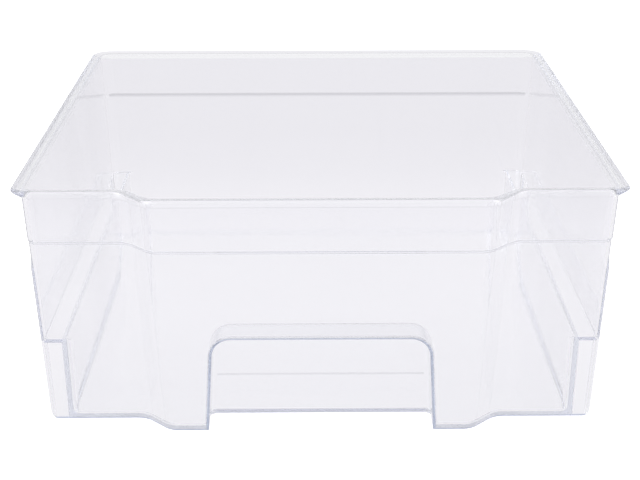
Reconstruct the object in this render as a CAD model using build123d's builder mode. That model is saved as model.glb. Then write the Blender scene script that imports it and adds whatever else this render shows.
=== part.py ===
"""Clear drawer bin for a refrigerator, moulded in one piece.

The bin is an open tub with a flat flange round its rim. The middle of its front stands
forward in a shallow bulge, and a finger pocket is let into that bulge from below. Front and
back walls step inwards under the rim. Below a ledge the side walls stand further in, and the
front and back walls keep their full width there, each with a short return round the corner.

Millimetres, +Z up, front towards -Y. The origin is at the middle of the base.
"""
import os
from math import cos, hypot, radians, sin, sqrt, tan

from build123d import *

# Overall size
rim_width = 379.0
rim_depth = 397.0
height = 160.0

# Moulded walls
wall = 2.4
floor_thickness = 2.5
wall_draft = 2.8
floor_round = 3.0

# Rim flange, wider along the back and only a narrow lip along the front
side_flange = 6.0
back_flange = 8.3
lip = 2.5
rim_thickness = 3.0
rim_round = 1.2
rim_inner_round = 0.8
rim_front_corner = 7.5
rim_back_corner = 15.0

# Upright corners of the outer wall
front_corner = 3.6
back_corner = 10.0

# Bulge in the middle of the front
bulge = 17.7
bulge_half = 113.3
flank_run = 17.0
flank_draft = 3.0
flank_round = 14.0

# Inward step of the front and back walls under the rim
step_below_rim = 34.5
step_in = 2.2
step_fall = 2.2

# Side recesses under a ledge, between the full-width front and back walls
ledge_height = 55.0
ledge_width = 13.4
recess_draft = 1.0
tub_corner = 5.0
shoulder_round = 1.5
return_depth = 9.0
skirt_round = 7.0
skirt_relief = 0.1

# Finger pocket, open at the front and below
pocket_half = 71.8
pocket_height = 64.5
pocket_depth = 24.2
pocket_draft = 3.5
pocket_round = 12.0
pocket_back_round = 3.0
pocket_mouth_bevel = 0.8

# Shallow panel in the lower part of the pocket's back wall, with a sloped upper edge
panel_height = 30.0
panel_slope = 1.8
panel_in = 0.8

# Levels and lengths worked out from the sizes above
step_top = height - step_below_rim
step_bottom = step_top - step_fall
ledge_top = ledge_height + wall
flank_length = hypot(flank_run, bulge)
past = 1.0


def lean(z, angle):
    """How far a wall of that draft has come in from its place at the rim, at height z."""
    return (height - z) * tan(radians(angle))


def stepped(z):
    """Inward step of the front and back walls at height z."""
    return step_in if z < step_top else 0.0


def front_at(z):
    """Y of the front wall beside the bulge."""
    return -rim_depth / 2 + lip + bulge + lean(z, wall_draft) + stepped(z)


def back_at(z):
    """Y of the back wall."""
    return rim_depth / 2 - back_flange - lean(z, wall_draft) - stepped(z)


def side_at(z):
    """Half-width over the side walls above the ledge, and over the skirt below it."""
    return rim_width / 2 - side_flange - lean(z, wall_draft)


def tub_at(z):
    """Half-width over the side walls below the ledge."""
    return side_at(ledge_height) - ledge_width - (ledge_height - z) * tan(radians(recess_draft))


def outline(z, half, front, back, grow=0.0, front_radius=0.0, back_radius=0.0):
    """Plan outline at height z, with the bulge in its front and its flanks moved out by grow."""
    middle = bulge_half - lean(z, flank_draft) + grow * (flank_length - flank_run) / bulge
    root = middle + flank_run / 2
    nose = middle - flank_run / 2
    points = [
        (-half, back), (half, back), (half, front), (root, front),
        (nose, front - bulge), (-nose, front - bulge), (-root, front), (-half, front),
    ]
    right_radii = [back_radius, front_radius, flank_round - grow, flank_round + grow]
    with BuildSketch(Plane.XY.offset(z)) as section:
        with BuildLine():
            FilletPolyline(*points, radius=right_radii[:1] + right_radii + right_radii[:0:-1],
                           close=True)
        make_face()
    return section.sketch.face()


def full_outline(z, inset=0.0):
    """Outline of the full-width walls at height z, or of their inner face when inset."""
    return outline(z, side_at(z) - inset, front_at(z) + inset, back_at(z) - inset, -inset,
                   front_corner - inset, back_corner - inset)


def tub_outline(z):
    """Outline of the narrower tub below the ledge, sharp where it meets front and back walls."""
    return outline(z, tub_at(z), front_at(z), back_at(z))


def tub_inner_outline(z, flare=0.0):
    """Inner outline of the narrower tub below the ledge, its sides moved out by flare."""
    return outline(z, tub_at(z) - wall + flare, front_at(z) + wall, back_at(z) - wall, -wall,
                   tub_corner, tub_corner)


def pocket_area(z, front, side_skin=0.0, back_skin=0.0):
    """Plan rectangle of the finger pocket at height z, its sides and back moved out by the skins."""
    half = pocket_half - z * tan(radians(pocket_draft)) + side_skin
    back = front_at(z) - bulge + pocket_depth + back_skin
    with BuildSketch(Plane.XY.offset(z)) as area:
        with Locations((0, (front + back) / 2)):
            Rectangle(2 * half, back - front)
    return area.sketch.face()


def mouth_outline(depth, grow):
    """The pocket's outline, grown, in a plane that far behind the leaning front of the bulge."""
    angle = radians(wall_draft)
    slope = tan(radians(pocket_draft))
    top = pocket_height + grow
    low_half = pocket_half + past * slope + grow
    top_half = pocket_half - top * slope + grow
    face = Plane(origin=(0, front_at(0) - bulge + depth, 0), x_dir=(1, 0, 0),
                 z_dir=(0, -cos(angle), -sin(angle)))
    with BuildSketch(face) as section:
        with BuildLine():
            FilletPolyline(
                (-low_half, -past), (low_half, -past), (top_half, top), (-top_half, top),
                radius=[0, 0, pocket_round + grow, pocket_round + grow], close=True,
            )
        make_face()
    return section.sketch.face()


# Spaces outside the rounded lower corners of the skirts
with BuildPart() as skirt_corners:
    turn = side_at(skirt_round) - skirt_round
    with Locations((turn + skirt_round, 0, (skirt_round - past) / 2)):
        Box(2 * skirt_round, 2 * rim_depth, skirt_round + past)
    with Locations(Location((turn, 0, skirt_round), (90, 0, 0))):
        Cylinder(skirt_round + skirt_relief, 3 * rim_depth, mode=Mode.SUBTRACT)
    mirror(about=Plane.YZ)

# Recesses under the ledges, open to the side and reaching behind the returns of the skirts
with BuildPart() as recesses:
    loft([full_outline(-past, wall), full_outline(ledge_height, wall)], ruled=True)
    open_front = front_at(0) + return_depth
    open_back = back_at(0) - return_depth
    with Locations((0, (open_front + open_back) / 2, (ledge_height - past) / 2)):
        Box(rim_width, open_back - open_front, ledge_height + past)
    loft([tub_outline(-2 * past), tub_outline(ledge_height + past)], ruled=True,
         mode=Mode.SUBTRACT)

# Inside of the bin, above and below the ledge
with BuildPart() as upper_space:
    halfway = rim_inner_round * (1 - sqrt(0.5))
    loft([
        full_outline(ledge_top, wall),
        full_outline(step_bottom, wall),
        full_outline(step_top, wall),
        full_outline(height - rim_inner_round, wall),
        full_outline(height - halfway, wall - halfway),
        full_outline(height, wall - rim_inner_round),
        full_outline(height + past, wall - rim_inner_round),
    ], ruled=True)

with BuildPart() as lower_space:
    halfway = shoulder_round * (1 - sqrt(0.5))
    loft([
        tub_inner_outline(floor_thickness),
        tub_inner_outline(ledge_top - shoulder_round),
        tub_inner_outline(ledge_top - halfway, halfway),
        tub_inner_outline(ledge_top, shoulder_round),
    ], ruled=True)
    fillet(lower_space.edges().group_by(Axis.Z)[0], floor_round)

# Finger pocket: the space itself, and the block of the bin's inside that it takes up
with BuildPart() as pocket:
    reach = front_at(0) - 2 * bulge
    loft([pocket_area(-past, reach), pocket_area(pocket_height, reach)], ruled=True)
    ceiling = pocket.faces().sort_by(Axis.Z)[-1]
    fillet(ceiling.edges().filter_by(Axis.Y), pocket_round)
    end_wall = pocket.faces().sort_by(Axis.Y)[-1]
    fillet(end_wall.edges().sort_by(Axis.Z)[1:], pocket_back_round)

with BuildPart() as pocket_block:
    inside = [front_at(z) - bulge + wall / 2 for z in (0, pocket_height + wall)]
    loft([
        pocket_area(0, inside[0], wall, wall),
        pocket_area(pocket_height + wall, inside[1], wall, wall),
    ], ruled=True)
    roof = pocket_block.faces().sort_by(Axis.Z)[-1]
    fillet(roof.edges().filter_by(Axis.Y), pocket_round + wall)
    end_wall = pocket_block.faces().sort_by(Axis.Y)[-1]
    fillet(end_wall.edges().sort_by(Axis.Z)[1:], pocket_back_round + wall)

with BuildPart() as pocket_panel:
    loft([
        pocket_area(-past, reach, -pocket_back_round, panel_in),
        pocket_area(panel_height - panel_slope, reach, -pocket_back_round, panel_in),
        pocket_area(panel_height, reach, -pocket_back_round),
    ], ruled=True)

with BuildPart() as pocket_mouth:
    loft([
        mouth_outline(-past, pocket_mouth_bevel + past),
        mouth_outline(2 * pocket_mouth_bevel, -pocket_mouth_bevel),
    ], ruled=True)

# Flat flange round the rim
with BuildPart() as rim:
    extrude(outline(height, rim_width / 2, bulge - rim_depth / 2, rim_depth / 2, lip,
                    rim_front_corner, rim_back_corner), amount=-rim_thickness)
    fillet(rim.edges().group_by(Axis.Z)[-1], rim_round)

# The bin
with BuildPart() as drawer_bin:
    loft([full_outline(z) for z in (0, step_bottom, step_top, height)], ruled=True)
    add(skirt_corners.part, mode=Mode.SUBTRACT)
    add(recesses.part, mode=Mode.SUBTRACT)
    add(rim.part)
    add(upper_space.part, mode=Mode.SUBTRACT)
    add(lower_space.part, mode=Mode.SUBTRACT)
    add(pocket_block.part)
    add(pocket.part, mode=Mode.SUBTRACT)
    add(pocket_panel.part, mode=Mode.SUBTRACT)
    add(pocket_mouth.part, mode=Mode.SUBTRACT)

drawer_bin.part.label = "drawer_bin"
os.makedirs("parts", exist_ok=True)
export_step(drawer_bin.part, "parts/drawer_bin.step")
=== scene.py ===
"""Dresses the clear refrigerator drawer bin: its moulded shell, its plastic, and the studio.

Sizes of the bin are in millimetres and become metres where a mesh is made. The studio is in
metres. +Z is up and the front of the bin faces -Y. The origin is at the middle of the base.
"""
import logging
from dataclasses import dataclass, field
from enum import Enum

import bmesh
import bpy
import numpy as np
from mathutils import Matrix, Vector

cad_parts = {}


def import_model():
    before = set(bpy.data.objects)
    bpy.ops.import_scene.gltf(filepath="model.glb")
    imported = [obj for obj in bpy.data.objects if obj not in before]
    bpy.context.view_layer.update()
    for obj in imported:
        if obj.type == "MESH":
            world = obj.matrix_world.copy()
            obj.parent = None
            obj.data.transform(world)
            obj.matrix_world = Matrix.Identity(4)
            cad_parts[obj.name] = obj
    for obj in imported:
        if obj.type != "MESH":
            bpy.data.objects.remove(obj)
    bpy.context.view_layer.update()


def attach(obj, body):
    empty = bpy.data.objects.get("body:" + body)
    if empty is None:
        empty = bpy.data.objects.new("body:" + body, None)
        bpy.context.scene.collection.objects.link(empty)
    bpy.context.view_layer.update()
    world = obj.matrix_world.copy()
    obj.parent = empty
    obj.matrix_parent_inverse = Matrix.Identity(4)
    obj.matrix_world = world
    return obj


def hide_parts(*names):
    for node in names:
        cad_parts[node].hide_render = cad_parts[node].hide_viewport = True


# Metres in a millimetre, and the distance in metres below which points are one
MM = 0.001
MERGE_DISTANCE = 1e-6

# How far in millimetres a cutting solid reaches past what it cuts
PAST = 1.0

# Points along an outline's arc, and rings along a small and a large rounded edge
ARC_STEPS = 14
TURN_STEPS = 7
FINE_TURN_STEPS = 9

Colour = tuple[float, float, float]
Triple = tuple[float, float, float]
log = logging.getLogger("drawer_bin")


class Joining(Enum):
    """How one solid meets another."""

    ADD = "UNION"
    CUT = "DIFFERENCE"


class Side(Enum):
    """The bin's two sides, as the sign of X."""

    LEFT = -1.0
    RIGHT = 1.0


def smooth(share: np.ndarray) -> np.ndarray:
    """Smooth ease from nought to one: three times the square less twice the cube."""
    return share * share * (3 - 2 * share)


def quarter(start: float, end: float, steps: int = TURN_STEPS) -> tuple[np.ndarray, np.ndarray]:
    """Quarter turn as two eased runs: 1 - cos and sin of an angle that goes from start to end.

    Args:
        start: First angle, as a share of a right angle.
        end: Last angle, as a share of a right angle.
        steps: Number of angles.

    Returns:
        The arrays 1 - cos(angle) and sin(angle).
    """
    angle = np.linspace(start, end, steps) * np.pi / 2
    return 1 - np.cos(angle), np.sin(angle)


def rounded(corners: np.ndarray, radii: np.ndarray, steps: int = ARC_STEPS) -> np.ndarray:
    """Closed outlines with an arc at every corner.

    The centre of an arc lies on the corner's bisector, at the radius over the sine of half the
    corner's angle. The arc sweeps the turn of the outline, evenly to both sides of the bisector.

    Args:
        corners: Corner points in order, of shape (rings, corners, 2).
        radii: Radius of each corner, of shape (rings, corners); nought keeps a corner sharp.
        steps: Points along each arc.

    Returns:
        Outline points of shape (rings, corners * steps, 2).
    """
    before = np.roll(corners, 1, axis=1) - corners
    after = np.roll(corners, -1, axis=1) - corners
    before = before / np.linalg.norm(before, axis=-1, keepdims=True)
    after = after / np.linalg.norm(after, axis=-1, keepdims=True)
    bisector = before + after
    bisector = bisector / np.linalg.norm(bisector, axis=-1, keepdims=True)
    across = after - before
    across = across / np.linalg.norm(across, axis=-1, keepdims=True)
    half = 0.5 * np.arccos(np.clip(np.sum(before * after, axis=-1), -1.0, 1.0))
    turn = (np.pi / 2 - half)[..., None] * np.linspace(-1.0, 1.0, steps)
    centre = corners + bisector * (radii / np.sin(half))[..., None]
    spoke = across[:, :, None] * np.sin(turn)[..., None]
    spoke = spoke - bisector[:, :, None] * np.cos(turn)[..., None]
    arcs = centre[:, :, None] + radii[..., None, None] * spoke
    return arcs.reshape(len(corners), -1, 2)


def upright(outlines: np.ndarray, levels: np.ndarray) -> np.ndarray:
    """Plan outlines set at their levels, as rings of points.

    Args:
        outlines: Plan points of shape (rings, points, 2).
        levels: Height of each ring.

    Returns:
        Ring points of shape (rings, points, 3).
    """
    heights = np.broadcast_to(levels[:, None, None], outlines.shape[:2] + (1,))
    return np.concatenate([outlines, heights], axis=-1)


def solid(name: str, rings: np.ndarray) -> bpy.types.Object:
    """Closed solid skinned over a stack of rings and capped at both ends.

    Point (ring, column) is joined to its neighbours in both directions, and columns wrap round.

    Args:
        name: Name of the new object.
        rings: Points of shape (rings, columns, 3), in millimetres.

    Returns:
        The solid, with doubled points merged and its faces outward.
    """
    count, width, _ = rings.shape
    row = np.arange(count - 1)[:, None] * width
    column = np.arange(width)[None, :]
    following = (column + 1) % width
    quads = np.stack([row + column, row + following,
                      row + width + following, row + width + column], axis=-1)
    first = np.arange(width)[::-1].tolist()
    last = (np.arange(width) + (count - 1) * width).tolist()
    mesh = bpy.data.meshes.new(name)
    mesh.from_pydata((rings.reshape(-1, 3) * MM).tolist(), [],
                     quads.reshape(-1, 4).tolist() + [first, last])
    shell = bmesh.new()
    shell.from_mesh(mesh)
    bmesh.ops.remove_doubles(shell, verts=shell.verts, dist=MERGE_DISTANCE)
    bmesh.ops.recalc_face_normals(shell, faces=shell.faces)
    shell.to_mesh(mesh)
    shell.free()
    piece = bpy.data.objects.new(name, mesh)
    bpy.context.scene.collection.objects.link(piece)
    return piece


def join(base: bpy.types.Object, tool: bpy.types.Object, how: Joining) -> None:
    """Adds a tool's solid to a base, or cuts it out of the base, and removes the tool.

    Args:
        base: Solid that is changed.
        tool: Solid that is added or cut.
        how: Whether the tool is added or cut.
    """
    step = base.modifiers.new(how.name.lower(), "BOOLEAN")
    step.operation = how.value
    step.solver = "MANIFOLD"
    step.object = tool
    bpy.context.view_layer.update()
    graph = bpy.context.evaluated_depsgraph_get()
    former = base.data
    joined = bpy.data.meshes.new_from_object(base.evaluated_get(graph))
    base.modifiers.clear()
    base.data = joined
    joined.name = base.name
    bpy.data.meshes.remove(former)
    spent = tool.data
    bpy.data.objects.remove(tool)
    bpy.data.meshes.remove(spent)


@dataclass(frozen=True)
class BinWalls:
    """The leaning walls that every other part of the bin is measured from."""

    rim_width: float = 379.0
    rim_depth: float = 397.0
    height: float = 160.0
    wall: float = 2.4
    floor: float = 2.5
    draft: float = 2.8
    side_flange: float = 6.0
    back_flange: float = 8.3
    lip: float = 2.5
    front_corner: float = 3.6
    upper_corner: float = 8.0
    corner_change: tuple[float, float] = (105.0, 114.0)
    corner_rings: int = 7
    back_corner: float = 10.0
    least_radius: float = 0.3
    bulge: float = 17.7
    bulge_half: float = 113.3
    flank_run: float = 17.0
    flank_draft: float = 3.0
    flank_round: float = 14.0
    step_below_rim: float = 34.5
    step_in: float = 2.2
    step_fall: float = 2.2
    step_straight: float = 0.55
    step_rings: int = 9
    base_round: float = 1.4

    @property
    def step_levels(self) -> np.ndarray:
        """Levels across the inward step, from its lower edge to its upper edge."""
        top = self.height - self.step_below_rim
        return np.linspace(top - self.step_fall, top, self.step_rings)

    @property
    def corner_levels(self) -> np.ndarray:
        """Levels over which the front corners change their radius."""
        return np.linspace(*self.corner_change, self.corner_rings)

    def lean(self, z: np.ndarray, angle: float) -> np.ndarray:
        """How far a wall of that draft has come in from its place at the rim, at height z."""
        return (self.height - z) * np.tan(np.radians(angle))

    def stepped(self, z: np.ndarray) -> np.ndarray:
        """Inward step: nought above, the full step below, part straight and part eased between.

        Args:
            z: Heights.

        Returns:
            The step at each height.
        """
        share = np.clip((self.step_levels[-1] - z) / self.step_fall, 0.0, 1.0)
        eased = (1 - self.step_straight) * smooth(share)
        return self.step_in * (self.step_straight * share + eased)

    def front_at(self, z: np.ndarray) -> np.ndarray:
        """Y of the front wall beside the bulge, at height z."""
        lean = self.lean(z, self.draft) + self.stepped(z)
        return -self.rim_depth / 2 + self.lip + self.bulge + lean

    def back_at(self, z: np.ndarray) -> np.ndarray:
        """Y of the back wall at height z."""
        return self.rim_depth / 2 - self.back_flange - self.lean(z, self.draft) - self.stepped(z)

    def side_at(self, z: np.ndarray) -> np.ndarray:
        """Half-width over the full-width side walls at height z."""
        return self.rim_width / 2 - self.side_flange - self.lean(z, self.draft)

    def corners_at(self, z: np.ndarray, inset: np.ndarray) -> tuple[np.ndarray, np.ndarray]:
        """Radii of the upright corners; those in front ease from small below to large above.

        Args:
            z: Levels of the rings.
            inset: How far each ring stands inside the outer face.

        Returns:
            Radii of the front and of the back corners of each ring.
        """
        low, high = self.corner_change
        gain = smooth(np.clip((z - low) / (high - low), 0.0, 1.0))
        front = self.front_corner + (self.upper_corner - self.front_corner) * gain
        return (np.maximum(front - inset, self.least_radius),
                np.maximum(self.back_corner - inset, self.least_radius))

    def outline(self, z: np.ndarray, half: np.ndarray, front: np.ndarray, back: np.ndarray,
                grow: np.ndarray, corners: tuple[np.ndarray, np.ndarray]) -> np.ndarray:
        """Plan outlines with the bulge in their front, as rings at the levels z.

        A rectangle whose front line steps forward over two straight flanks. Flanks move along
        their own normal when the outline grows, and every corner is rounded.

        Args:
            z: Levels of the rings.
            half: Half-width of each ring.
            front: Y of each ring's front line beside the bulge.
            back: Y of each ring's back line.
            grow: How far each ring's flanks are moved out.
            corners: Radii of the front and back corners of each ring.

        Returns:
            Ring points of shape (rings, points, 3).
        """
        slant = (np.hypot(self.flank_run, self.bulge) - self.flank_run) / self.bulge
        middle = self.bulge_half - self.lean(z, self.flank_draft) + grow * slant
        root = middle + self.flank_run / 2
        nose = middle - self.flank_run / 2
        fore = front - self.bulge
        across = np.stack([-half, -root, -nose, nose, root, half, half, -half], axis=-1)
        along = np.stack([front, front, fore, fore, front, front, back, back], axis=-1)
        hollow = self.flank_round - grow
        full = self.flank_round + grow
        radii = np.stack([corners[0], hollow, full, full, hollow, corners[0],
                          corners[1], corners[1]], axis=-1)
        return upright(rounded(np.stack([across, along], axis=-1), radii), z)

    def build(self) -> bpy.types.Object:
        """Outer shape of the walls as a solid, with a rounded lower edge and the inward step.

        Returns:
            The solid, up to just below the top of the rim.
        """
        ease, rise = quarter(1.0, 0.0)
        upper = np.concatenate([self.corner_levels, self.step_levels, [self.height - PAST]])
        z = np.concatenate([self.base_round * (1 - rise), upper])
        inset = np.concatenate([self.base_round * ease, np.zeros_like(upper)])
        return solid("clear_bin", self.outline(
            z, self.side_at(z) - inset, self.front_at(z) + inset, self.back_at(z) - inset,
            -inset, self.corners_at(z, inset)))


@dataclass(frozen=True)
class RimFlange:
    """Flange round the rim: a deep rounded lip along the front, thin-edged along the sides."""

    walls: BinWalls
    lip_depth: float = 4.9
    lip_round: float = 2.2
    under_round: float = 0.6
    root_depth: float = 4.9
    root_inset: float = 0.2
    edge_depth: float = 1.9
    edge_round: float = 1.4
    edge_power: float = 0.8
    front_corner: float = 10.0
    back_corner: float = 15.0
    face_rings: int = 9
    top_rings: int = 12

    def top_inset(self, below: np.ndarray, radius: float) -> np.ndarray:
        """How far a quarter round of that radius stands in, at a depth below the top."""
        return radius - np.sqrt(radius ** 2 - np.clip(radius - below, 0.0, radius) ** 2)

    def lip_inset(self, below: np.ndarray) -> np.ndarray:
        """Inset of the front lip: a quarter round above and a smaller one below."""
        under = self.top_inset(self.lip_depth - below, self.under_round)
        return self.top_inset(below, self.lip_round) + under

    def edge_inset(self, below: np.ndarray, width: float) -> np.ndarray:
        """Inset of a side or back edge: a quarter round above and a slope back to the wall.

        The slope runs from the edge's depth to the root's, as a power of the share of the way.

        Args:
            below: Depths below the top of the rim.
            width: Width of the flange there.

        Returns:
            The inset at each depth.
        """
        share = np.clip((below - self.edge_depth) / (self.root_depth - self.edge_depth), 0.0, 1.0)
        slope = (width + self.root_inset) * share ** self.edge_power
        return self.top_inset(below, self.edge_round) + slope

    def build(self) -> bpy.types.Object:
        """Flange as a stack of rings from its lower edge to the top of the rim.

        Every ring stands in from the rim's outline, by the inset of the lip at the front and by
        the inset of the edge at the sides and the back.

        Returns:
            The flange as a solid plate that the inside is cut through later.
        """
        walls = self.walls
        under, _ = quarter(0.0, 1.0)
        top, _ = quarter(0.0, 1.0, self.top_rings)
        face = np.linspace(self.lip_depth - self.under_round, self.lip_round, self.face_rings)
        below = np.concatenate([self.lip_depth - self.under_round * under, face[1:-1],
                                self.lip_round * (1 - top)])
        lip = self.lip_inset(below)
        side = self.edge_inset(below, walls.side_flange)
        back = self.edge_inset(below, walls.back_flange)
        depth = walls.rim_depth / 2
        rings = walls.outline(np.full_like(below, walls.height), walls.rim_width / 2 - side,
                              walls.bulge - depth + lip, depth - back, walls.lip - lip,
                              (np.maximum(self.front_corner - side, walls.upper_corner),
                               np.maximum(self.back_corner - side, walls.back_corner)))
        rings[..., 2] = walls.height - below[:, None]
        return solid("rim_flange", rings)


@dataclass(frozen=True)
class SideRecess:
    """Recess under the ledge of a side, and the full-width skirts that bound it."""

    walls: BinWalls
    ledge_height: float = 55.0
    ledge_width: float = 13.4
    draft: float = 1.0
    return_depth: float = 9.0
    skirt_round: float = 7.0
    skirt_run: float = 40.0
    cut_below: float = 5.0
    edge_round: float = 0.5

    def tub_at(self, z: np.ndarray) -> np.ndarray:
        """Half-width over the side walls below the ledge, at height z."""
        ledge = self.walls.side_at(np.array(self.ledge_height)) - self.ledge_width
        return ledge - (self.ledge_height - z) * np.tan(np.radians(self.draft))

    def build(self, side: Side) -> bpy.types.Object:
        """Space of the recess: a T-shaped plan that leans with the walls.

        The stem of the T opens to the side, and its arms reach behind the two returns. Near the
        base the inner line moves in by a quarter turn, which rounds the tub's lower edge.

        Args:
            side: Side of the bin.

        Returns:
            The space as a solid to cut.
        """
        walls = self.walls
        ease, rise = quarter(1.0, 0.0)
        z = np.concatenate([[-PAST], walls.base_round * (1 - rise), [self.ledge_height]])
        flare = np.concatenate([[walls.base_round], walls.base_round * ease, [0.0]])
        inner = self.tub_at(z) - flare
        shell = walls.side_at(z) - walls.wall
        beyond = np.full_like(z, walls.rim_width / 2 + PAST)
        front = walls.front_at(z) + walls.wall
        back = walls.back_at(z) - walls.wall
        base = np.array(0.0)
        open_front = np.full_like(z, walls.front_at(base) + self.return_depth)
        open_back = np.full_like(z, walls.back_at(base) - self.return_depth)
        across = np.stack([inner, shell, shell, beyond, beyond, shell, shell, inner], axis=-1)
        along = np.stack([front, front, open_front, open_front,
                          open_back, open_back, back, back], axis=-1)
        radii = np.broadcast_to(np.array([
            self.edge_round, walls.front_corner - walls.wall, self.edge_round, 0.0,
            0.0, self.edge_round, walls.back_corner - walls.wall, self.edge_round]), across.shape)
        rings = upright(rounded(np.stack([across, along], axis=-1), radii), z)
        rings[..., 0] *= side.value
        return solid("side_recess", rings)

    def skirt_corner(self, side: Side) -> bpy.types.Object:
        """Space outside the rounded lower corner of the skirts, carried from front to back.

        Its section is the arc between the base and the leaning side, closed by a frame outside.

        Args:
            side: Side of the bin.

        Returns:
            The space as a solid to cut.
        """
        walls, run = self.walls, self.skirt_run
        foot = float(walls.side_at(np.array(0.0)))
        upper = float(walls.side_at(np.array(run)))
        turn = np.array([[[foot - run, 0.0], [foot, 0.0], [upper, run]]])
        arc = rounded(turn, np.array([[0.0, self.skirt_round, 0.0]]))[0, ARC_STEPS:2 * ARC_STEPS]
        beyond = walls.rim_width / 2
        frame = np.array([[beyond, arc[-1, 1]], [beyond, -self.cut_below],
                          [arc[0, 0], -self.cut_below]])
        section = np.concatenate([arc, frame])
        ends = np.array([-walls.rim_depth, walls.rim_depth]) / 2
        rings = np.empty((2, len(section), 3))
        rings[..., 0] = section[:, 0] * side.value
        rings[..., 1] = ends[:, None]
        rings[..., 2] = section[:, 1]
        return solid("skirt_corner", rings)


@dataclass(frozen=True)
class Inside:
    """Space inside the bin, from its floor to its rim."""

    walls: BinWalls
    recess: SideRecess
    floor_round: float = 3.0
    tub_corner: float = 5.0
    shoulder_round: float = 0.6
    ledge_round: float = 0.5
    rim_round: float = 0.8

    @property
    def ledge_top(self) -> float:
        """Height of the ledges inside the bin."""
        return self.recess.ledge_height + self.walls.wall

    def lower_rings(self) -> np.ndarray:
        """Rings of the narrower tub, from the floor to the edge of the ledge.

        They stand in by a quarter turn at the floor, and their sides flare out by another
        quarter turn at the edge of the ledge.

        Returns:
            Ring points of shape (rings, points, 3).
        """
        walls = self.walls
        floor_ease, floor_rise = quarter(1.0, 0.0, FINE_TURN_STEPS)
        edge_ease, edge_rise = quarter(0.0, 1.0)
        floor_z = walls.floor + self.floor_round * (1 - floor_rise)
        edge_z = self.ledge_top - self.shoulder_round * (1 - edge_rise)
        z = np.concatenate([floor_z, edge_z])
        inset = np.concatenate([self.floor_round * floor_ease, np.zeros_like(edge_z)])
        flare = np.concatenate([np.zeros_like(floor_z), self.shoulder_round * edge_ease])
        skin = walls.wall + inset
        corner = self.tub_corner - inset
        return walls.outline(z, self.recess.tub_at(z) - skin + flare, walls.front_at(z) + skin,
                             walls.back_at(z) - skin, -skin, (corner, corner))

    def upper_rings(self) -> np.ndarray:
        """Rings of the full-width walls, from the back of the ledge to above the rim.

        Their sides stand in by a quarter turn at the ledge, and the whole outline flares out by
        another quarter turn at the rim.

        Returns:
            Ring points of shape (rings, points, 3).
        """
        walls = self.walls
        foot_ease, foot_rise = quarter(1.0, 0.0)
        foot_z = self.ledge_top + self.ledge_round * (1 - foot_rise)
        rim_ease, rim_rise = quarter(0.0, 1.0)
        rim_z = walls.height - self.rim_round * (1 - rim_rise)
        plain_z = np.concatenate([foot_z, walls.corner_levels, walls.step_levels])
        z = np.concatenate([plain_z, rim_z, [walls.height + PAST]])
        inset = walls.wall - np.concatenate([
            np.zeros_like(plain_z), self.rim_round * rim_ease, [self.rim_round]])
        sides = inset.copy()
        sides[:len(foot_z)] += self.ledge_round * foot_ease
        return walls.outline(z, walls.side_at(z) - sides, walls.front_at(z) + inset,
                             walls.back_at(z) - inset, -inset, walls.corners_at(z, inset))

    def build(self) -> bpy.types.Object:
        """Whole inside as one solid to cut, its ledges flat between the two runs of rings."""
        return solid("inside", np.concatenate([self.lower_rings(), self.upper_rings()]))


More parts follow.
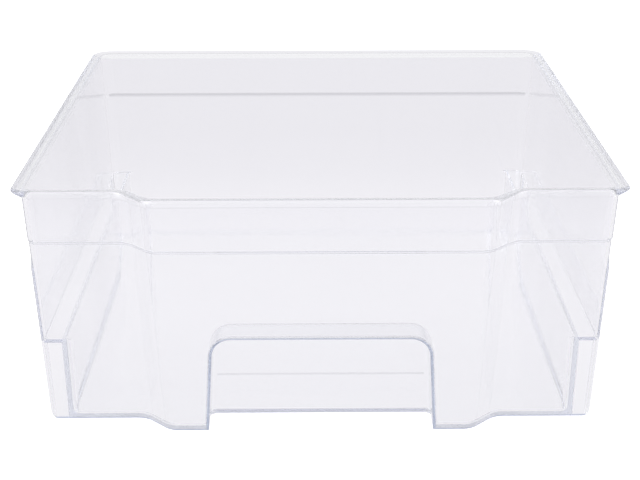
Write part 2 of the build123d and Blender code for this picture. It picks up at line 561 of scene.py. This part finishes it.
@dataclass(frozen=True)
class FingerPocket:
    """Finger pocket in the bulge, open at the front and below, and the walls round it."""

    walls: BinWalls
    half: float = 71.8
    height: float = 64.5
    depth: float = 24.2
    draft: float = 3.5
    top_round: float = 12.0
    back_round: float = 3.0
    mouth_depth: float = 1.7
    mouth_width: float = 2.3
    panel_height: float = 30.0
    panel_slope: float = 1.8
    panel_in: float = 0.8

    def rings(self, depth: np.ndarray, grow: np.ndarray, bottom: float) -> np.ndarray:
        """Arch-shaped sections carried back from the front of the bulge.

        A section is a rectangle with leaning sides and two rounded upper corners. Each point
        stands back from the leaning front face by the section's depth.

        Args:
            depth: How far behind the front face each section stands.
            grow: How far each section is grown over the pocket's own.
            bottom: Height of the sections' lower edge.

        Returns:
            Ring points of shape (sections, points, 3).
        """
        slope = np.tan(np.radians(self.draft))
        top = self.height + grow
        low = self.half - bottom * slope + grow
        high = self.half - top * slope + grow
        foot = np.full_like(grow, bottom)
        across = np.stack([-low, low, high, -high], axis=-1)
        rise = np.stack([foot, foot, top, top], axis=-1)
        none = np.zeros_like(grow)
        arch = self.top_round + grow
        radii = np.stack([none, none, arch, arch], axis=-1)
        section = rounded(np.stack([across, rise], axis=-1), radii, 2 * ARC_STEPS)
        face = self.walls.front_at(section[..., 1]) - self.walls.bulge
        return np.stack([section[..., 0], face + depth[:, None], section[..., 1]], axis=-1)

    def block(self) -> bpy.types.Object:
        """Room that the pocket takes up inside the bin, one wall larger than the pocket.

        Returns:
            The block as a solid to add.
        """
        skin = self.walls.wall
        ease, rise = quarter(0.0, 1.0, FINE_TURN_STEPS)
        edge = self.back_round + skin
        depth = np.concatenate([[skin / 2], self.depth + skin - edge * (1 - rise)])
        grow = np.concatenate([[skin], skin - edge * ease])
        return solid("pocket_block", self.rings(depth, grow, PAST))

    def space(self) -> bpy.types.Object:
        """The pocket itself, flared by a flattened quarter turn at its mouth, round at its back.

        Returns:
            The space as a solid to cut.
        """
        mouth_ease, mouth_rise = quarter(1.0, 0.0)
        back_ease, back_rise = quarter(0.0, 1.0, FINE_TURN_STEPS)
        depth = np.concatenate([[-PAST], self.mouth_depth * (1 - mouth_rise),
                                self.depth - self.back_round * (1 - back_rise)])
        grow = np.concatenate([[self.mouth_width], self.mouth_width * mouth_ease,
                               -self.back_round * back_ease])
        return solid("pocket_space", self.rings(depth, grow, -PAST))

    def panel(self) -> bpy.types.Object:
        """Shallow panel in the lower part of the pocket's back wall, with a sloped upper edge.

        Returns:
            The panel's space as a solid to cut.
        """
        z = np.array([-PAST, self.walls.floor, self.panel_height - self.panel_slope,
                      self.panel_height])
        sunk = np.array([self.panel_in, self.panel_in, self.panel_in, 0.0])
        half = self.half - z * np.tan(np.radians(self.draft)) - self.back_round
        back = self.walls.front_at(z) - self.walls.bulge + self.depth
        across = np.stack([-half, half, half, -half], axis=-1)
        along = np.stack([back - PAST, back - PAST, back + sunk, back + sunk], axis=-1)
        return solid("pocket_panel", upright(np.stack([across, along], axis=-1), z))


@dataclass(frozen=True)
class ClearPlastic:
    """Clear moulded plastic with a faint flow pattern, a cool colour in its depth, and painted
    shade on its edges.
    """

    colour: Colour = (0.985, 0.985, 0.995)
    # Painted shade: darker, cooler base colours for the mouth, the base's edges and front, the
    # plate's end, the step with the rim's inner edge and the panel's slope, and the lip. They
    # stand in for dark lines that refraction, light led along the walls and contact shadow give
    # these places
    mouth_painted_shade: Colour = (0.45, 0.51, 0.67)
    front_base_painted_shade: Colour = (0.30, 0.36, 0.54)
    base_painted_shade: Colour = (0.74, 0.77, 0.86)
    plate_painted_shade: Colour = (0.78, 0.79, 0.89)
    step_painted_shade: Colour = (0.76, 0.76, 0.78)
    lip_painted_shade: Colour = (0.85, 0.85, 0.87)
    # Face attribute that carries the painted shade
    painted_shade_layer: str = "painted_edge_shade"
    ior: float = 1.52
    roughness: tuple[float, float] = (0.06, 0.10)
    flow_stretch: Triple = (6.0, 6.0, 2.2)
    flow_scale: float = 2.6
    flow_detail: float = 3.0
    flow_range: tuple[float, float] = (0.3, 0.7)
    flow_bump: float = 0.012
    flow_height: float = 0.002
    depth_colour: Colour = (0.58, 0.63, 0.84)
    depth_density: float = 0.8
    shadow_colour: Colour = (0.93, 0.93, 0.95)

    def add_flow(self, tree: bpy.types.NodeTree, plastic: bpy.types.Node) -> None:
        """Lets a stretched noise vary the gloss and raise a faint bump.

        Args:
            tree: The material's nodes.
            plastic: Shader that gets the pattern.
        """
        nodes, links = tree.nodes, tree.links
        place = nodes.new("ShaderNodeTexCoord")
        stretch = nodes.new("ShaderNodeMapping")
        stretch.inputs["Scale"].default_value = self.flow_stretch
        flow = nodes.new("ShaderNodeTexNoise")
        flow.inputs["Scale"].default_value = self.flow_scale
        flow.inputs["Detail"].default_value = self.flow_detail
        gloss = nodes.new("ShaderNodeMapRange")
        gloss.inputs["From Min"].default_value = self.flow_range[0]
        gloss.inputs["From Max"].default_value = self.flow_range[1]
        gloss.inputs["To Min"].default_value = self.roughness[0]
        gloss.inputs["To Max"].default_value = self.roughness[1]
        bump = nodes.new("ShaderNodeBump")
        bump.inputs["Strength"].default_value = self.flow_bump
        bump.inputs["Distance"].default_value = self.flow_height
        links.new(place.outputs["Object"], stretch.inputs["Vector"])
        links.new(stretch.outputs["Vector"], flow.inputs["Vector"])
        links.new(flow.outputs["Fac"], gloss.inputs["Value"])
        links.new(gloss.outputs["Result"], plastic.inputs["Roughness"])
        links.new(flow.outputs["Fac"], bump.inputs["Height"])
        links.new(bump.outputs["Normal"], plastic.inputs["Normal"])

    def material(self) -> bpy.types.Material:
        """Glass-like shader with light passing through in shadow, absorption in the depth, and
        painted shade from a face attribute.

        Returns:
            The new material.
        """
        made = bpy.data.materials.new("clear_plastic")
        made.use_nodes = True
        nodes, links = made.node_tree.nodes, made.node_tree.links
        plastic = nodes["Principled BSDF"]
        output = nodes["Material Output"]
        # Base colour from the face attribute: the plastic's own near-white, with painted shade on
        # its edges
        shade_attribute = nodes.new("ShaderNodeAttribute")
        shade_attribute.attribute_name = self.painted_shade_layer
        links.new(shade_attribute.outputs["Color"], plastic.inputs["Base Color"])
        plastic.inputs["Transmission Weight"].default_value = 1.0
        plastic.inputs["IOR"].default_value = self.ior
        self.add_flow(made.node_tree, plastic)
        depth = nodes.new("ShaderNodeVolumeAbsorption")
        depth.inputs["Color"].default_value = (*self.depth_colour, 1.0)
        depth.inputs["Density"].default_value = self.depth_density
        links.new(depth.outputs["Volume"], output.inputs["Volume"])
        through = nodes.new("ShaderNodeBsdfTransparent")
        through.inputs["Color"].default_value = (*self.shadow_colour, 1.0)
        path = nodes.new("ShaderNodeLightPath")
        mix = nodes.new("ShaderNodeMixShader")
        links.new(path.outputs["Is Shadow Ray"], mix.inputs[0])
        links.new(plastic.outputs["BSDF"], mix.inputs[1])
        links.new(through.outputs["BSDF"], mix.inputs[2])
        links.new(mix.outputs["Shader"], output.inputs["Surface"])
        return made


@dataclass(frozen=True)
class DrawerBin:
    """The drawer bin, moulded in one piece.

    Its last four values are limits on the parts of a face's normal, which sort faces for their
    painted shade.
    """

    walls: BinWalls
    rim: RimFlange
    recess: SideRecess
    inside: Inside
    pocket: FingerPocket
    plastic_and_shade: ClearPlastic
    smooth_below: float = 32.0
    edge_turn: float = 0.985
    facing: float = 0.1
    base_turn: float = 0.6
    front_ratio: float = 2.0

    def build(self) -> bpy.types.Object:
        """Joins the bin's spaces and solids into its one closed shell.

        Returns:
            The shell, smooth but for its true edges.
        """
        shell = self.walls.build()
        join(shell, self.rim.build(), Joining.ADD)
        join(shell, self.inside.build(), Joining.CUT)
        for side in Side:
            join(shell, self.recess.build(side), Joining.CUT)
            join(shell, self.recess.skirt_corner(side), Joining.CUT)
        join(shell, self.pocket.block(), Joining.ADD)
        join(shell, self.pocket.space(), Joining.CUT)
        join(shell, self.pocket.panel(), Joining.CUT)
        mesh = shell.data
        mesh.polygons.foreach_set("use_smooth", np.ones(len(mesh.polygons), dtype=bool))
        mesh.set_sharp_from_angle(angle=np.radians(self.smooth_below))
        normals = shell.modifiers.new("even_normals", "WEIGHTED_NORMAL")
        normals.keep_sharp = True
        return shell

    def painted_face_shades(self, mesh: bpy.types.Mesh) -> np.ndarray:
        """Colour of every face: the plastic's own near-white, with painted shade where
        refraction, light led along the walls and contact shadow give edges, the step and the lip
        dark lines.

        A face belongs to the base's edge where it lies within that rounding and isn't level, and
        to its front where it also looks forward and not far down. It belongs to the mouth where
        it lies within the mouth's rounding of the bulge's leaning front and doesn't look along
        that front. It belongs to the end of the floor plate where it lies low in the pocket's
        back wall, and to the panel's edge where it lies on that edge's slope. It belongs to the
        step where it lies between the step's levels on the back wall, to the rim's inner edge
        where it lies within that rounding, leans towards the middle and doesn't run along the
        front, and to the lip's lower edge where it lies within that rounding and looks forward
        and down.

        Args:
            mesh: The shell's mesh.

        Returns:
            Colours of shape (faces, 4).
        """
        centres = np.empty(3 * len(mesh.polygons))
        normals = np.empty(3 * len(mesh.polygons))
        mesh.polygons.foreach_get("center", centres)
        mesh.polygons.foreach_get("normal", normals)
        x, y, z = centres.reshape(-1, 3).T / MM
        across, along, rise = normals.reshape(-1, 3).T
        walls, pocket, plastic_and_shade = self.walls, self.pocket, self.plastic_and_shade
        forward, tilted = along < -self.facing, np.abs(rise) < self.edge_turn
        base = (z < walls.base_round) & tilted
        front_base = base & forward & (rise > -self.base_turn)
        depth = y - walls.front_at(z) + walls.bulge
        near = np.abs(x) < pocket.half + pocket.mouth_width
        near = near & (z < pocket.height + pocket.mouth_width)
        mouth = near & (depth < pocket.mouth_depth) & (np.abs(along) < self.edge_turn)
        panel = near & (np.abs(depth - pocket.depth) < PAST) & forward
        plate = panel & (z < walls.floor)
        slope = panel & (z > pocket.panel_height - pocket.panel_slope) & (z < pocket.panel_height)
        levels = walls.step_levels
        step = (z > levels[0]) & (z < levels[-1]) & (y > 0) & (np.abs(along) > np.abs(across))
        rim = (z > walls.height - self.inside.rim_round) & tilted
        rim = rim & (across * x + along * y < 0) & (along < self.front_ratio * np.abs(across))
        under = walls.height - self.rim.lip_depth
        lip = (z > under) & (z < under + self.rim.under_round) & (rise < -self.facing) & forward
        # The plastic's own colour on every face, then painted shade on each set of edge faces
        painted_shades = np.ones((len(x), 4), dtype=np.float32)
        painted_shades[:, :3] = plastic_and_shade.colour
        for faces, colour in ((base, plastic_and_shade.base_painted_shade), (front_base, plastic_and_shade.front_base_painted_shade),
                              (mouth, plastic_and_shade.mouth_painted_shade), (plate, plastic_and_shade.plate_painted_shade),
                              (step | rim | slope, plastic_and_shade.step_painted_shade), (lip, plastic_and_shade.lip_painted_shade)):
            painted_shades[faces, :3] = colour
        return painted_shades

    def dress(self, shell: bpy.types.Object) -> None:
        """Gives the shell its plastic and its place in the frame.

        Args:
            shell: The shell that build made.
        """
        mesh = shell.data
        # Painted shade of the faces goes into a face attribute that the plastic's base colour
        # reads
        painted_shades = mesh.attributes.new(self.plastic_and_shade.painted_shade_layer, "FLOAT_COLOR", "FACE")
        painted_shades.data.foreach_set("color", self.painted_face_shades(mesh).ravel())
        mesh.materials.clear()
        mesh.materials.append(self.plastic_and_shade.material())
        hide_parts("drawer_bin")
        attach(shell, "root")


@dataclass(frozen=True)
class PaleFloor:
    """Plain pale floor that stays white to the camera and keeps the bin's shadow."""

    reach: float = 12.0
    drop: float = 0.0005
    colour: Colour = (0.85, 0.85, 0.87)
    glow: float = 0.62
    tone_start: float = -0.2
    tone_reach: float = 0.7
    # Painted light and shade on the floor as the plastic shows it: shares from front to back,
    # with colours
    tones: tuple[tuple[float, Colour], ...] = (
        (0.0, (0.885, 0.88, 0.91)),
        (0.3, (0.935, 0.925, 0.955)),
        (0.55, (0.93, 0.92, 0.95)),
        (0.8, (0.865, 0.855, 0.89)),
        (1.0, (0.845, 0.835, 0.87)),
    )

    def add_tone(self, tree: bpy.types.NodeTree) -> bpy.types.Node:
        """Glow of painted light and shade whose tone changes from the front of the floor to the
        back: lightest under the bin's back half, darker at its front and further behind it.

        Args:
            tree: The material's nodes.

        Returns:
            The glow's shader, for what the plastic shows of the floor.
        """
        nodes, links = tree.nodes, tree.links
        place = nodes.new("ShaderNodeTexCoord")
        axes = nodes.new("ShaderNodeSeparateXYZ")
        away = nodes.new("ShaderNodeMapRange")
        away.inputs["From Min"].default_value = self.tone_start
        away.inputs["From Max"].default_value = self.tone_start + self.tone_reach
        tone = nodes.new("ShaderNodeValToRGB")
        stops = tone.color_ramp.elements
        while len(stops) < len(self.tones):
            stops.new(1.0)
        for stop, (share, colour) in zip(stops, self.tones):
            stop.position = share
            stop.color = (*colour, 1.0)
        seen = nodes.new("ShaderNodeEmission")
        links.new(place.outputs["Object"], axes.inputs["Vector"])
        links.new(axes.outputs["Y"], away.inputs["Value"])
        links.new(away.outputs["Result"], tone.inputs["Fac"])
        links.new(tone.outputs["Color"], seen.inputs["Color"])
        return seen

    def material(self) -> bpy.types.Material:
        """White to the camera, a pale tone of painted light and shade where plastic shows it, and
        matt to the light.

        Returns:
            The new material.
        """
        made = bpy.data.materials.new("pale_floor")
        made.use_nodes = True
        nodes, links = made.node_tree.nodes, made.node_tree.links
        nodes.clear()
        output = nodes.new("ShaderNodeOutputMaterial")
        matt = nodes.new("ShaderNodeBsdfDiffuse")
        matt.inputs["Color"].default_value = (*self.colour, 1.0)
        white = nodes.new("ShaderNodeEmission")
        white.inputs["Strength"].default_value = self.glow
        lifted = nodes.new("ShaderNodeAddShader")
        links.new(matt.outputs["BSDF"], lifted.inputs[0])
        links.new(white.outputs["Emission"], lifted.inputs[1])
        seen = self.add_tone(made.node_tree)
        path = nodes.new("ShaderNodeLightPath")
        either = nodes.new("ShaderNodeMath")
        either.operation = "MAXIMUM"
        links.new(path.outputs["Is Transmission Ray"], either.inputs[0])
        links.new(path.outputs["Is Glossy Ray"], either.inputs[1])
        indirect = nodes.new("ShaderNodeMixShader")
        links.new(either.outputs["Value"], indirect.inputs[0])
        links.new(matt.outputs["BSDF"], indirect.inputs[1])
        links.new(seen.outputs["Emission"], indirect.inputs[2])
        direct = nodes.new("ShaderNodeMixShader")
        links.new(path.outputs["Is Camera Ray"], direct.inputs[0])
        links.new(indirect.outputs["Shader"], direct.inputs[1])
        links.new(lifted.outputs["Shader"], direct.inputs[2])
        links.new(direct.outputs["Shader"], output.inputs["Surface"])
        return made

    def build(self) -> bpy.types.Object:
        """One wide square just under the base.

        Returns:
            The floor.
        """
        turn = np.array([[-1.0, -1.0], [1.0, -1.0], [1.0, 1.0], [-1.0, 1.0]])
        points = np.column_stack([turn * self.reach, np.full(len(turn), -self.drop)])
        mesh = bpy.data.meshes.new("floor")
        mesh.from_pydata(points.tolist(), [], [(0, 1, 2, 3)])
        mesh.materials.append(self.material())
        floor = bpy.data.objects.new("floor", mesh)
        bpy.context.scene.collection.objects.link(floor)
        return floor


@dataclass(frozen=True)
class SoftLamp:
    """Large soft lamp that looks at the bin."""

    name: str
    place: Triple
    size: tuple[float, float]
    power: float
    target: Triple = (0.0, 0.0, 0.08)

    def build(self) -> bpy.types.Object:
        """Rectangular area lamp turned towards its target.

        Returns:
            The lamp.
        """
        lamp = bpy.data.lights.new(self.name, "AREA")
        lamp.shape = "RECTANGLE"
        lamp.size, lamp.size_y = self.size
        lamp.energy = self.power
        holder = bpy.data.objects.new(self.name, lamp)
        gaze = Vector(self.target) - Vector(self.place)
        holder.location = self.place
        holder.rotation_euler = gaze.to_track_quat("-Z", "Y").to_euler()
        bpy.context.scene.collection.objects.link(holder)
        return holder


@dataclass(frozen=True)
class LightTent:
    """Bright surround, a little darker towards the horizon."""

    horizon: Colour = (0.80, 0.81, 0.84)
    overhead: Colour = (0.97, 0.97, 0.98)
    horizon_band: float = 0.28
    strength: float = 0.95

    def build(self) -> bpy.types.World:
        """World whose brightness rises with the height of the direction looked in.

        Returns:
            The scene's new world.
        """
        world = bpy.data.worlds.new("light_tent")
        world.use_nodes = True
        nodes, links = world.node_tree.nodes, world.node_tree.links
        sky = nodes["Background"]
        sky.inputs["Strength"].default_value = self.strength
        place = nodes.new("ShaderNodeTexCoord")
        axes = nodes.new("ShaderNodeSeparateXYZ")
        rise = nodes.new("ShaderNodeMapRange")
        rise.inputs["From Min"].default_value = 0.0
        rise.inputs["From Max"].default_value = self.horizon_band
        tone = nodes.new("ShaderNodeMix")
        tone.data_type = "RGBA"
        tone.inputs["A"].default_value = (*self.horizon, 1.0)
        tone.inputs["B"].default_value = (*self.overhead, 1.0)
        links.new(place.outputs["Generated"], axes.inputs["Vector"])
        links.new(axes.outputs["Z"], rise.inputs["Value"])
        links.new(rise.outputs["Result"], tone.inputs["Factor"])
        links.new(tone.outputs["Result"], sky.inputs["Color"])
        bpy.context.scene.world = world
        return world


@dataclass(frozen=True)
class PhotoCamera:
    """Camera at the photograph's viewing angle."""

    picture_width: float = 640.0
    focal_pixels: float = 1431.5
    sensor_width: float = 36.0
    clip: tuple[float, float] = (0.05, 50.0)
    place: Triple = (-0.00625, -1.00271, 0.4347)
    yaw: float = -0.404
    pitch: float = 20.445
    roll: float = -0.092

    def build(self) -> bpy.types.Object:
        """Camera that looks along +Y, turned by yaw, down by pitch and about its axis by roll.

        Returns:
            The scene's camera.
        """
        lens = bpy.data.cameras.new("camera")
        lens.sensor_width = self.sensor_width
        lens.lens = self.focal_pixels * self.sensor_width / self.picture_width
        lens.clip_start, lens.clip_end = self.clip
        yaw, pitch, roll = np.radians([self.yaw, self.pitch, self.roll])
        ahead = np.array([-np.sin(yaw) * np.cos(pitch), np.cos(yaw) * np.cos(pitch),
                          -np.sin(pitch)])
        right = np.array([np.cos(yaw), np.sin(yaw), 0.0])
        above = np.cross(right, ahead)
        turned = np.eye(4)
        turned[:3, 0] = right * np.cos(roll) + above * np.sin(roll)
        turned[:3, 1] = above * np.cos(roll) - right * np.sin(roll)
        turned[:3, 2] = -ahead
        turned[:3, 3] = self.place
        camera = bpy.data.objects.new("camera", lens)
        camera.matrix_world = Matrix(turned.tolist())
        bpy.context.scene.collection.objects.link(camera)
        bpy.context.scene.camera = camera
        return camera


@dataclass(frozen=True)
class Studio:
    """Floor, surround, lamps and camera."""

    floor: PaleFloor = field(default_factory=PaleFloor)
    tent: LightTent = field(default_factory=LightTent)
    camera: PhotoCamera = field(default_factory=PhotoCamera)
    lamps: tuple[SoftLamp, ...] = (
        SoftLamp("key_lamp", (-1.4, -0.9, 1.5), (1.0, 1.4), 10.0),
        SoftLamp("fill_lamp", (1.5, -0.6, 1.2), (1.0, 1.4), 7.0),
    )
    bounces: int = 512
    shadow_layers: int = 32

    def build(self) -> None:
        """Makes the stage and lets light travel far enough along inside the clear walls."""
        for maker in (self.camera, self.floor, self.tent, *self.lamps):
            made = maker.build()
            log.info("studio: %s", made.name)
        scene = bpy.context.scene
        scene.view_settings.view_transform = "Standard"
        scene.cycles.max_bounces = self.bounces
        scene.cycles.transmission_bounces = self.bounces
        scene.cycles.glossy_bounces = self.bounces
        scene.cycles.transparent_max_bounces = self.shadow_layers


def main() -> None:
    """Loads the frame, builds the studio and the bin, and logs the pieces made."""
    logging.basicConfig(level=logging.INFO, format="%(name)s: %(message)s")
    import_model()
    Studio().build()
    walls = BinWalls()
    recess = SideRecess(walls)
    drawer_bin = DrawerBin(walls, RimFlange(walls), recess, Inside(walls, recess),
                           FingerPocket(walls), ClearPlastic())
    shell = drawer_bin.build()
    drawer_bin.dress(shell)
    log.info("piece: %s, %d faces", shell.name, len(shell.data.polygons))
    bpy.context.view_layer.update()


if __name__ == "__main__":
    main()
